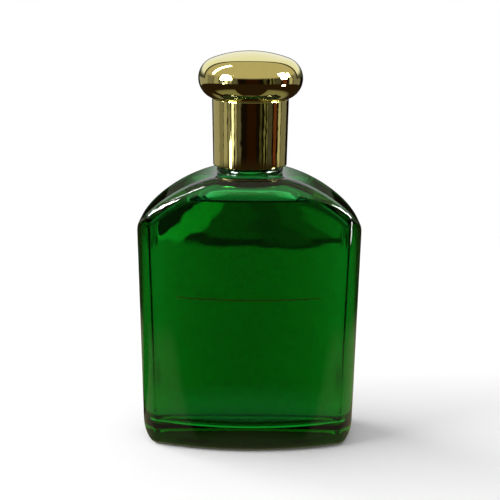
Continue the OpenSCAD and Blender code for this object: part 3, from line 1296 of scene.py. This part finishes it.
@dataclass
class CapHead:
    """The gold mushroom head, a domed crown that runs into a round rim (millimetres)."""

    head_r: float = 15.8
    rim_r: float = 6.4
    seat_r: float = 11.45
    seat_z: float = 108.9
    crown_h: float = 1.7
    plug_r: float = 10.4
    plug_foot: float = 106.3
    core_r: float = 6.0
    top_t: float = 5.0

    def build(self, material: bpy.types.Material) -> None:
        """Builds and dresses the head.

        Args:
            material: its material.
        """
        rim_x = self.head_r - self.rim_r
        rim_z = self.seat_z + math.sqrt(self.rim_r ** 2 - (self.seat_r - rim_x) ** 2)
        rise = self.rim_r + self.crown_h
        top = rim_z + rise
        crown_r = (rim_x ** 2 + rise ** 2 - self.rim_r ** 2) / (2 * self.crown_h)
        crown_z, core_top = top - crown_r, top - self.top_t
        join_a = 90 - math.degrees(math.atan2(rim_x, rim_z - crown_z))
        seat_a = math.degrees(math.atan2(self.seat_z - rim_z, self.seat_r - rim_x))
        outside = arc(0, crown_z, crown_r, 89.2, join_a, 0.8)[:-1] + arc(rim_x, rim_z, self.rim_r, join_a, seat_a, 3.0)
        corners = [(self.seat_r - 0.02, self.seat_z, 0.0), (self.plug_r, self.seat_z, 0.1),
                   (self.plug_r, self.plug_foot, 0.3), (self.core_r, self.plug_foot, 0.3),
                   (self.core_r, core_top, 1.5), (0.6, core_top, 0.0)]
        rings = turned(outside + rounded(corners, False))
        ends = (Vector((0, 0, top)), Vector((0, 0, core_top)))
        head = rings_mesh("gold_head", rings, ends, False)
        dress(head, material, Body.CAP, "cap_head")


# ---------- studio ----------


@dataclass(frozen=True)
class Card:
    """An upright card or dark cloth that shows only in what is mirrored.

    Attributes:
        azimuth: degrees from the front towards +X.
        width: its width in degrees.
        level: how bright it is.
        tone: hex colour.
        soft: width of its soft edges in degrees.
    """

    azimuth: float
    width: float
    level: float
    tone: str = "#FFF6E0"
    soft: float = 2.0


@dataclass(frozen=True)
class Pane:
    """A bright window pane that shows only in what is mirrored, by the range of each part of its direction."""

    x: tuple[float, float]
    y: tuple[float, float]
    z: tuple[float, float]
    level: float


@dataclass(frozen=True)
class Glint:
    """A bright patch of the mirrored floor, by compass angle and distance (degrees and metres)."""

    angle: tuple[float, float]
    away: tuple[float, float]


@dataclass(frozen=True)
class FloorPatch:
    """A patch of the floor far behind the bottle that shows only through the clear body and glows at its own level:
    the dim ones stand for dark things there, and the one brighter than white is a painted patch of light (metres).
    """

    middle: float
    width: float
    near: float
    far: float
    level: float


@dataclass(frozen=True)
class Span:
    """A stretch of one measure.

    Attributes:
        low: where it starts to be full.
        high: where it stops being full.
        soft: how far it takes to ease to nothing past either end.
    """

    low: float
    high: float
    soft: float


@dataclass(frozen=True)
class Veil(Span):
    """A stretch of one measure that has a tone of its own."""

    tone: str


@dataclass
class Studio:
    """Floor, backdrop, soft lights, cards and camera (metres and degrees).

    What is mirrored sees a dim room with cards and windows, by the parts of a direction or, on the floor,
    by compass angle and distance. What shows through the clear body sees white that is dimmed aside.

    Attributes:
        focal_mm: focal length of the lens.
        sensor_mm: width of the sensor.
        pitch: how far the camera looks down.
        distance: from the camera to the point that it aims at.
        aim_z: height of that point.
        aside: how far the camera stands towards +X.
        roll: how far the camera leans.
        even_light: strength of the light from all round.
        key_azimuths: where the strips of the key light stand, from +X towards +Y.
        key_elevation: how high they stand.
        key_strength: strength of each strip.
        key_size: angle that each strip takes up.
        room_tone: the mirrored room between its cards.
        sway: how far the cards' edges wave.
        fold_in_air: how finely they wave above the floor.
        fold_on_floor: how finely they wave on the floor.
        cards: the mirrored cards.
        panes: the mirrored window panes.
        pane_soft: softness of their edges.
        pane_blue: share of blue in their light.
        upper_wall: the mirrored wall above the cards, by the direction's Z.
        rear_frame: the dark edge of the white at the back, by the direction's Y.
        rear: the white at the back, by the direction's Y.
        horizon: the direction's Z between which that white starts.
        below_horizon: its tone under the horizon.
        beyond_sides: what shows through the clear body aside.
        beyond_back: where white shows through it, by the direction's Y.
        beyond_top: the tone high up, by the direction's Z.
        beyond_upper: the tone above the floor, by the direction's Z.
        floor_half: half the floor's side.
        paper_fades: distances between which the paper turns to plain white.
        bare_floor: the mirrored floor before the cards' feet, by distance.
        floor_near: the mirrored floor round the bottle.
        near_in_front: distances between which that starts, in the front sectors.
        near_aside: the same elsewhere.
        front_sectors: compass angles of the front sectors.
        glints: the bright patches of the mirrored floor.
        glint_level: how bright they are.
        glint_soft: softness of their edges, by angle and by distance.
        floor_patches: the patches that show through the clear body, dim ones for dark things behind and one painted
            patch of light, brighter than white.
        floor_patch_soft: softness of their edges, across and away.
        drift: how far those edges wave, across and away.
        drift_per_m: how finely they wave along each axis.
        behind_tone: the floor behind the bottle, seen through it.
        behind: where that is, by Y.
        far_behind: the floor further away, by Y.
        aside_angle: compass angles of the dimmed floor.
        aside_away: its distances.
        aside_tone: its tone.
    """

    focal_mm: float = 72.0
    sensor_mm: float = 36.0
    pitch: float = 14.5
    distance: float = 0.3147
    aim_z: float = 0.06141
    aside: float = 0.00025
    roll: float = 0.5

    even_light: float = 0.6
    key_azimuths: tuple[float, ...] = (146, 158, 170, 182, 194, 206)
    key_elevation: float = 40.0
    key_strength: float = 0.44
    key_size: float = 14.0

    room_tone: str = "#140E08"
    sway: float = 14.0
    fold_in_air: float = 7.0
    fold_on_floor: float = 24.0
    cards: tuple[Card, ...] = (
        Card(-128, 40, 0.38), Card(-98, 16, 0.24), Card(-80, 12, 0.42), Card(-66, 7, 0.26),
        Card(-54, 5, 1.6, WHITE), Card(-44, 3, 0.5), Card(-34, 10, 0.12), Card(4, 24, 0.05, "#B06030"),
        Card(32, 5, 0.10, "#C8C890", 1.0), Card(44, 2, 0.35, "#D8D8A0", 0.7), Card(52, 2, 0.3, "#D8D8A0", 0.7),
        Card(62, 12, 0.07), Card(80, 9, 0.14, "#FF9060"), Card(98, 8, 0.55), Card(122, 30, 0.22),
    )
    panes: tuple[Pane, ...] = (
        Pane((-0.93, -0.68), (-0.74, -0.36), (0.05, 0.42), 70.0),
        Pane((0.80, 0.98), (-0.32, -0.06), (0.10, 0.50), 70.0),
        Pane((-0.93, -0.42), (0.04, 0.13), (0.34, 0.90), 20.0),
        Pane((0.88, 0.98), (0.03, 0.12), (0.20, 0.42), 16.0),
    )
    pane_soft: float = 0.02
    pane_blue: float = 0.97
    upper_wall: Veil = Veil(0.32, 2.0, 0.16, "#C9BEA6")
    rear_frame: Veil = Veil(0.50, 0.56, 0.03, "#3A362C")
    rear: Span = Span(0.60, 2.0, 0.03)
    horizon: tuple[float, float] = (0.06, 0.24)
    below_horizon: str = "#4A4C40"

    beyond_sides: str = "#2C2C2A"
    beyond_back: Span = Span(0.30, 2.0, 0.25)
    beyond_top: Veil = Veil(0.85, 2.0, 0.30, "#55564F")
    beyond_upper: Veil = Veil(0.05, 2.0, 0.08, "#8E918C")

    floor_half: float = 6.0
    paper_fades: tuple[float, float] = (0.16, 0.32)
    bare_floor: Veil = Veil(0.0, 0.44, 0.05, "#2A1D10")
    floor_near: str = "#8A8468"
    near_in_front: tuple[float, float] = (0.040, 0.022)
    near_aside: tuple[float, float] = (0.16, 0.11)
    front_sectors: tuple[Span, Span] = (Span(-36.0, 40.0, 6.0), Span(-122.0, -106.0, 6.0))
    glints: tuple[Glint, ...] = (Glint((-62.5, -59.5), (0.46, 0.55)), Glint((74.0, 82.0), (0.30, 0.38)))
    glint_level: float = 22.0
    glint_soft: tuple[float, float] = (1.5, 0.02)

    # patches on the floor seen only through the clear body; the one at 1.9 glows brighter than the white floor, a
    # painted patch of light
    floor_patches: tuple[FloorPatch, ...] = (
        FloorPatch(0.0150, 0.0090, 0.26, 0.44, 0.06), FloorPatch(0.0080, 0.0050, 0.255, 0.42, 1.9),
        FloorPatch(-0.0050, 0.0190, 0.262, 0.275, 0.12), FloorPatch(-0.0030, 0.0030, 0.27, 0.40, 0.30),
        FloorPatch(-0.0150, 0.0090, 0.272, 0.36, 0.85), FloorPatch(-0.0140, 0.0120, 0.262, 0.270, 0.15),
    )
    floor_patch_soft: tuple[float, float] = (0.0012, 0.012)
    drift: tuple[float, float] = (0.008, 0.09)
    drift_per_m: tuple[float, float, float] = (95.0, 14.0, 1.0)
    behind_tone: str = "#B4B4B4"
    behind: Span = Span(0.305, 9.0, 0.01)
    far_behind: Veil = Veil(0.47, 9.0, 0.03, "#767976")
    aside_angle: Span = Span(-150.0, 150.0, 12.0)
    aside_away: Span = Span(0.075, 20.0, 0.03)
    aside_tone: str = "#50524C"

    def camera(self) -> None:
        """Puts the camera in front of the bottle, looking a little down on it through a long lens."""
        lens = bpy.data.cameras.new("camera")
        lens.lens, lens.sensor_width = self.focal_mm, self.sensor_mm
        lens.clip_start, lens.clip_end = 0.01, 50
        eye = bpy.data.objects.new("camera", lens)
        tilt = math.radians(self.pitch)
        place = Vector((self.aside, -self.distance * math.cos(tilt), self.aim_z + self.distance * math.sin(tilt)))
        turn = Matrix.Rotation(math.pi / 2 - tilt, 4, "X") @ Matrix.Rotation(math.radians(self.roll), 4, "Z")
        eye.matrix_world = Matrix.Translation(place) @ turn
        bpy.context.scene.collection.objects.link(eye)
        bpy.context.scene.camera = eye

    @staticmethod
    def plain_view() -> None:
        """Leaves colours as they are written."""
        bpy.context.scene.view_settings.view_transform = "Standard"

    def band(self, tree: bpy.types.NodeTree, value: bpy.types.NodeSocket, span: Span) -> bpy.types.NodeSocket:
        """One within a span, easing to zero outside it.

        Args:
            tree: the node tree.
            value: the value that is tested.
            span: where it is one.

        Returns:
            The factor.
        """
        rise, fall = (add(tree, "ShaderNodeMapRange", {"Value": value, "From Min": start, "From Max": end},
                          interpolation_type="SMOOTHSTEP")
                      for start, end in ((span.low - span.soft, span.low), (span.high + span.soft, span.high)))
        return add(tree, "ShaderNodeMath", {0: rise, 1: fall}, operation="MULTIPLY").outputs[0]

    def veil(self, tree: bpy.types.NodeTree, value: bpy.types.NodeSocket,
             veil: Veil) -> tuple[bpy.types.NodeSocket, tuple]:
        """How much of a veil shows, and its tone."""
        return self.band(tree, value, veil), linear(veil.tone)

    @staticmethod
    def compass(tree: bpy.types.NodeTree, way: bpy.types.NodeSocket) -> bpy.types.NodeSocket:
        """Degrees from the front towards +X.

        Args:
            tree: the node tree.
            way: a direction or a place on the floor.

        Returns:
            The angle.
        """
        parts = add(tree, "ShaderNodeSeparateXYZ", {"Vector": way})
        back = add(tree, "ShaderNodeMath", {0: parts.outputs["Y"], 1: -1.0}, operation="MULTIPLY")
        angle = add(tree, "ShaderNodeMath", {0: parts.outputs["X"], 1: back}, operation="ARCTAN2")
        return add(tree, "ShaderNodeMath", {0: angle, 1: 180 / math.pi}, operation="MULTIPLY").outputs[0]

    @staticmethod
    def in_mirror(tree: bpy.types.NodeTree, path: bpy.types.Node) -> bpy.types.NodeSocket:
        """One for a ray that was mirrored, zero for one that came straight or through something clear."""
        straight = add(tree, "ShaderNodeMath", {0: 1.0, 1: path.outputs["Is Transmission Ray"]}, operation="SUBTRACT")
        return add(tree, "ShaderNodeMath", {0: path.outputs["Is Glossy Ray"], 1: straight},
                   operation="MULTIPLY").outputs[0]

    def room(self, tree: bpy.types.NodeTree, way: bpy.types.NodeSocket, fold: float) -> bpy.types.NodeSocket:
        """The dim room that stands round the set, with its upright cards, by the compass angle.

        Args:
            tree: the node tree.
            way: a direction or a place on the floor.
            fold: how finely the cards' edges wave.

        Returns:
            The colour seen that way.
        """
        degrees = self.compass(tree, way)
        folds = add(tree, "ShaderNodeTexNoise", {"Vector": way, "Scale": fold, "Detail": 4.0})
        swayed = add(tree, "ShaderNodeMath", {0: folds.outputs["Fac"], 1: self.sway, 2: degrees},
                     operation="MULTIPLY_ADD").outputs[0]
        layers = []
        for card in self.cards:
            middle, half = card.azimuth + self.sway / 2, card.width / 2
            shade = tuple(c * card.level for c in linear(card.tone)[:3]) + (1.0,)
            layers.append((self.band(tree, swayed, Span(middle - half, middle + half, card.soft)), shade))
        return layered(tree, linear(self.room_tone), layers)

    def mirrored_room(self, tree: bpy.types.NodeTree, way: bpy.types.NodeSocket) -> bpy.types.NodeSocket:
        """What is mirrored from above the floor: the room, its upper wall, windows and the white at the back.

        Args:
            tree: the world's tree.
            way: the direction.

        Returns:
            The colour seen that way.
        """
        parts = add(tree, "ShaderNodeSeparateXYZ", {"Vector": way})
        x, y, z = (parts.outputs[axis] for axis in "XYZ")
        layers = [self.veil(tree, z, self.upper_wall)]
        for pane in self.panes:
            inside = [self.band(tree, value, Span(*ends, self.pane_soft))
                      for value, ends in zip((x, y, z), (pane.x, pane.y, pane.z))]
            lit = add(tree, "ShaderNodeMath", {0: inside[0], 1: inside[1]}, operation="MULTIPLY")
            lit = add(tree, "ShaderNodeMath", {0: lit, 1: inside[2]}, operation="MULTIPLY").outputs[0]
            layers.append((lit, (pane.level, pane.level, self.pane_blue * pane.level, 1.0)))
        above = add(tree, "ShaderNodeMapRange", {
            "Value": z, "From Min": self.horizon[0], "From Max": self.horizon[1]}, interpolation_type="SMOOTHSTEP")
        sky = layered(tree, linear(self.below_horizon), [(above, linear(WHITE))])
        layers += [self.veil(tree, y, self.rear_frame), (self.band(tree, y, self.rear), sky)]
        return layered(tree, self.room(tree, way, self.fold_in_air), layers)

    def world(self) -> None:
        """White behind what is seen directly, a dim room in what is mirrored, and soft even light."""
        world = bpy.data.worlds.new("studio")
        world.use_nodes = True
        bpy.context.scene.world = world
        tree = world.node_tree
        tree.nodes.clear()
        way = add(tree, "ShaderNodeTexCoord").outputs["Generated"]
        parts = add(tree, "ShaderNodeSeparateXYZ", {"Vector": way})
        path = add(tree, "ShaderNodeLightPath")
        shown = layered(tree, linear(self.beyond_sides), [
            (self.band(tree, parts.outputs["Y"], self.beyond_back), linear(WHITE)),
            self.veil(tree, parts.outputs["Z"], self.beyond_top),
            self.veil(tree, parts.outputs["Z"], self.beyond_upper),
            (path.outputs["Is Camera Ray"], linear(WHITE))])
        mirrored = add(tree, "ShaderNodeBackground", {"Color": self.mirrored_room(tree, way), "Strength": 1.0})
        even = add(tree, "ShaderNodeBackground", {"Color": linear(WHITE), "Strength": self.even_light})
        white = add(tree, "ShaderNodeBackground", {"Color": shown, "Strength": 1.0})
        direct = add(tree, "ShaderNodeMath", {
            0: path.outputs["Is Camera Ray"], 1: path.outputs["Is Transmission Ray"]}, operation="MAXIMUM")
        seen = add(tree, "ShaderNodeMixShader", {"Fac": direct, 1: even, 2: white})
        both = add(tree, "ShaderNodeMixShader", {"Fac": self.in_mirror(tree, path), 1: seen, 2: mirrored})
        add(tree, "ShaderNodeOutputWorld", {"Surface": both})

    def backdrop(self, tree: bpy.types.NodeTree, where: bpy.types.NodeSocket, away: bpy.types.NodeSocket,
                 path: bpy.types.Node) -> bpy.types.NodeSocket:
        """The white floor and the patches far behind it, dim things and one painted patch of light, which only show
        through something clear.

        Args:
            tree: the floor's tree.
            where: the place on the floor.
            away: its distance from the bottle's axis.
            path: the light path node.

        Returns:
            The colour seen there.
        """
        parts = add(tree, "ShaderNodeSeparateXYZ", {"Vector": where})
        stretched = add(tree, "ShaderNodeMapping", {"Vector": where, "Scale": self.drift_per_m})
        drift = add(tree, "ShaderNodeTexNoise", {"Vector": stretched, "Scale": 1.0, "Detail": 2.0})
        x, y = (add(tree, "ShaderNodeMath", {0: drift.outputs["Fac"], 1: by, 2: parts.outputs[axis]},
                    operation="MULTIPLY_ADD").outputs[0] for axis, by in zip("XY", self.drift))
        centre_x, centre_y = (by / 2 for by in self.drift)
        soft_x, soft_y = self.floor_patch_soft
        layers = []
        # each patch glows at its own level; the one above 1 is a painted patch of light
        for floor_patch in self.floor_patches:
            middle, half = floor_patch.middle + centre_x, floor_patch.width / 2
            across = self.band(tree, x, Span(middle - half, middle + half, soft_x))
            deep = self.band(tree, y, Span(floor_patch.near + centre_y, floor_patch.far + centre_y, soft_y))
            patch = add(tree, "ShaderNodeMath", {0: across, 1: deep}, operation="MULTIPLY").outputs[0]
            layers.append((patch, (floor_patch.level,) * 3 + (1.0,)))
        layers.append(self.veil(tree, y, self.far_behind))
        dimmed = add(tree, "ShaderNodeMath", {
            0: self.band(tree, self.compass(tree, where), self.aside_angle),
            1: self.band(tree, away, self.aside_away)}, operation="MULTIPLY")
        return layered(tree, linear(WHITE), [
            (self.band(tree, y, self.behind), layered(tree, linear(self.behind_tone), layers)),
            (dimmed, linear(self.aside_tone)), (path.outputs["Is Camera Ray"], linear(WHITE))])

    def mirrored_floor(self, tree: bpy.types.NodeTree, where: bpy.types.NodeSocket,
                       away: bpy.types.NodeSocket) -> bpy.types.NodeSocket:
        """What the floor looks like where it is mirrored: the cards' feet, two bright patches and a pale disc.

        Args:
            tree: the floor's tree.
            where: the place on the floor.
            away: its distance from the bottle's axis.

        Returns:
            The colour seen there.
        """
        degrees = self.compass(tree, where)
        sectors = [self.band(tree, degrees, sector) for sector in self.front_sectors]
        sector = add(tree, "ShaderNodeMath", {0: sectors[0], 1: sectors[1]}, operation="MAXIMUM")
        aside, in_front = (add(tree, "ShaderNodeMapRange", {"Value": away, "From Min": start, "From Max": end},
                               interpolation_type="SMOOTHSTEP")
                           for start, end in (self.near_aside, self.near_in_front))
        near = add(tree, "ShaderNodeMix", {0: sector, 2: aside, 3: in_front})
        layers = [self.veil(tree, away, self.bare_floor), (near, linear(self.floor_near))]
        for glint in self.glints:
            ends = [self.band(tree, value, Span(*span, soft))
                    for value, span, soft in zip((degrees, away), (glint.angle, glint.away), self.glint_soft)]
            lit = add(tree, "ShaderNodeMath", {0: ends[0], 1: ends[1]}, operation="MULTIPLY")
            layers.append((lit, (self.glint_level,) * 3 + (1.0,)))
        return layered(tree, self.room(tree, where, self.fold_on_floor), layers)

    def floor(self) -> None:
        """A large matt white floor that keeps the bottle's shadow, and is dim where it is mirrored."""
        material, tree = new_material("Matt white paper floor")
        fibre = mottle(tree, 0.5, 4.0)
        paper = add(tree, "ShaderNodeBsdfDiffuse", {
            "Color": layered(tree, linear("#F8F8F8"), [(fibre, linear("#FCFCFC"))])})
        where = add(tree, "ShaderNodeTexCoord").outputs["Object"]
        away = add(tree, "ShaderNodeVectorMath", {0: where}, operation="LENGTH").outputs["Value"]
        path = add(tree, "ShaderNodeLightPath")
        white = add(tree, "ShaderNodeEmission", {"Color": self.backdrop(tree, where, away, path), "Strength": 1.0})
        faded = add(tree, "ShaderNodeMapRange", {
            "Value": away, "From Min": self.paper_fades[0], "From Max": self.paper_fades[1]},
            interpolation_type="SMOOTHSTEP")
        camera = add(tree, "ShaderNodeMath", {0: faded, 1: path.outputs["Is Camera Ray"]}, operation="MULTIPLY")
        through = add(tree, "ShaderNodeMath", {0: camera, 1: path.outputs["Is Transmission Ray"]}, operation="MAXIMUM")
        direct = add(tree, "ShaderNodeMixShader", {"Fac": through, 1: paper, 2: white})
        dim = add(tree, "ShaderNodeEmission", {"Color": self.mirrored_floor(tree, where, away), "Strength": 1.0})
        both = add(tree, "ShaderNodeMixShader", {"Fac": self.in_mirror(tree, path), 1: direct, 2: dim})
        finish_with(tree, both)
        half = self.floor_half
        mesh = bpy.data.meshes.new("floor")
        mesh.from_pydata([(-half, -half, 0), (half, -half, 0), (half, half, 0), (-half, half, 0)], [], [(0, 1, 2, 3)])
        mesh.materials.append(material)
        obj = bpy.data.objects.new("floor", mesh)
        bpy.context.scene.collection.objects.link(obj)

    def sun(self, azimuth: float) -> None:
        """One strip of the broad key light that throws the soft shadow.

        Args:
            azimuth: where it stands, in degrees from +X towards +Y.
        """
        lamp = bpy.data.lights.new("key", "SUN")
        lamp.energy, lamp.angle = self.key_strength, math.radians(self.key_size)
        obj = bpy.data.objects.new("key", lamp)
        a, e = math.radians(azimuth), math.radians(self.key_elevation)
        way = Vector((math.cos(a) * math.cos(e), math.sin(a) * math.cos(e), math.sin(e)))
        obj.rotation_euler = way.to_track_quat("Z", "Y").to_euler()
        obj.visible_glossy = obj.visible_transmission = False
        bpy.context.scene.collection.objects.link(obj)

    def build(self) -> None:
        """Builds the whole stage."""
        self.plain_view()
        self.camera()
        self.world()
        self.floor()
        for azimuth in self.key_azimuths:
            self.sun(azimuth)


def main() -> None:
    """Builds every sub-assembly in order and dresses it."""
    logging.basicConfig(level=logging.INFO, format="%(name)s %(message)s")
    Studio().build()
    gold = GOLD.make()
    flask = Flask()
    angles = flask.build(GREEN_GLASS.make())
    Aftershave(flask).build(angles, GREEN_LIQUID.make())
    GoldRule().build(GOLD_FOIL.make())
    OrificeReducer().build(POLYETHYLENE.make())
    SealingDisc().build(FoamLiner().make())
    InnerClosure().build(POLYPROPYLENE.make())
    CapSleeve().build(gold)
    CapHead().build(gold)


if __name__ == "__main__":
    main()
